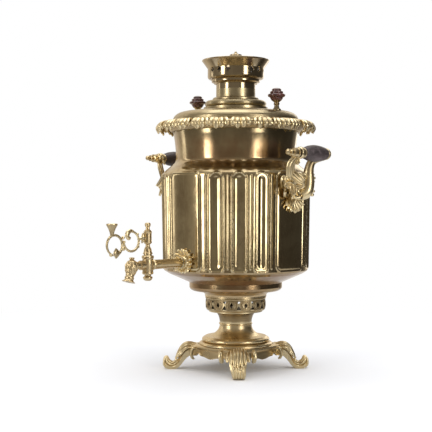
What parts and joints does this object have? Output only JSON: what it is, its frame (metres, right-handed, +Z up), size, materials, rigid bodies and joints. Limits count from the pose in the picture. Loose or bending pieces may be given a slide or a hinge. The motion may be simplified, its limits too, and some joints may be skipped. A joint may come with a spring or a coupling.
{
  "type": "samovar",
  "caption": "Charcoal samovar: fluted brass boiler round a central flue, with a pierced gallery, leaf feet, side handles, a key tap and a lift-off lid, crown and cap.",
  "frame": {"origin": "on the boiler's axis, on the surface that the feet stand on", "axes": "+Z up along the flue, -Y towards the tap's spout, +X towards the right-hand handle"},
  "size_m": [0.307, 0.373, 0.4747],
  "materials": {
    "brass": "aged, polished",
    "pale_brass": "cast, worn bright on the high spots",
    "lid_brass": "satin",
    "dark_brass": "heat-darkened, polished",
    "iron": "sooty",
    "knob_wood": "lacquered",
    "grip_wood": "worn, matt",
    "leather": "waxed"
  },
  "bodies": {
    "root": {"body_shell": "brass", "body_neck": "brass", "boiler_bottom": "brass", "leaf_border": "pale_brass", "flue_tube": "dark_brass", "fire_grate": "iron", "air_gallery": "pale_brass", "pedestal_cove": "pale_brass", "pedestal": "brass", "base_plate": "brass", "foot_front_right": "pale_brass", "foot_back_right": "pale_brass", "foot_back_left": "pale_brass", "foot_front_left": "pale_brass", "bracket_right": "pale_brass", "bracket_left": "pale_brass", "grip_right": "grip_wood", "grip_left": "grip_wood", "rod_right": "brass", "rod_left": "brass", "collars_right": "pale_brass", "collars_left": "pale_brass", "studs_right": "iron", "studs_left": "iron", "tap_rosette": "pale_brass", "tap_body": "brass", "tap_washer": "leather", "tap_nut": "brass"},
    "lid": {"lid": "lid_brass", "lid_ring": "lid_brass", "lid_collar": "lid_brass", "knob_stem_right": "brass", "knob_stem_left": "brass", "knob_right": "knob_wood", "knob_left": "knob_wood"},
    "crown": {"crown": "dark_brass"},
    "cap": {"cap_disc": "dark_brass", "cap_knob": "dark_brass"},
    "vent": {"vent_cap": "dark_brass"},
    "key": {"key_plug": "brass", "key_stem": "brass", "key_scroll": "pale_brass", "key_nut": "brass"}
  },
  "joints": [
    {"name": "key_turn", "type": "hinge", "parent": "root", "child": "key", "pos_m": [0, -0.1785, 0.1635], "axis": [0, 0, 1], "range_deg": [-90, 90]},
    {"name": "lid_lift", "type": "slide", "parent": "root", "child": "lid", "axis": [0, 0, 1], "range_m": [0, 0.12]},
    {"name": "crown_lift", "type": "slide", "parent": "lid", "child": "crown", "axis": [0, 0, 1], "range_m": [0, 0.08]},
    {"name": "cap_lift", "type": "slide", "parent": "crown", "child": "cap", "axis": [0, 0, 1], "range_m": [0, 0.08]},
    {"name": "vent_cap_lift", "type": "slide", "parent": "lid", "child": "vent", "axis": [0, 0, 1], "range_m": [0, 0.02]}
  ]
}
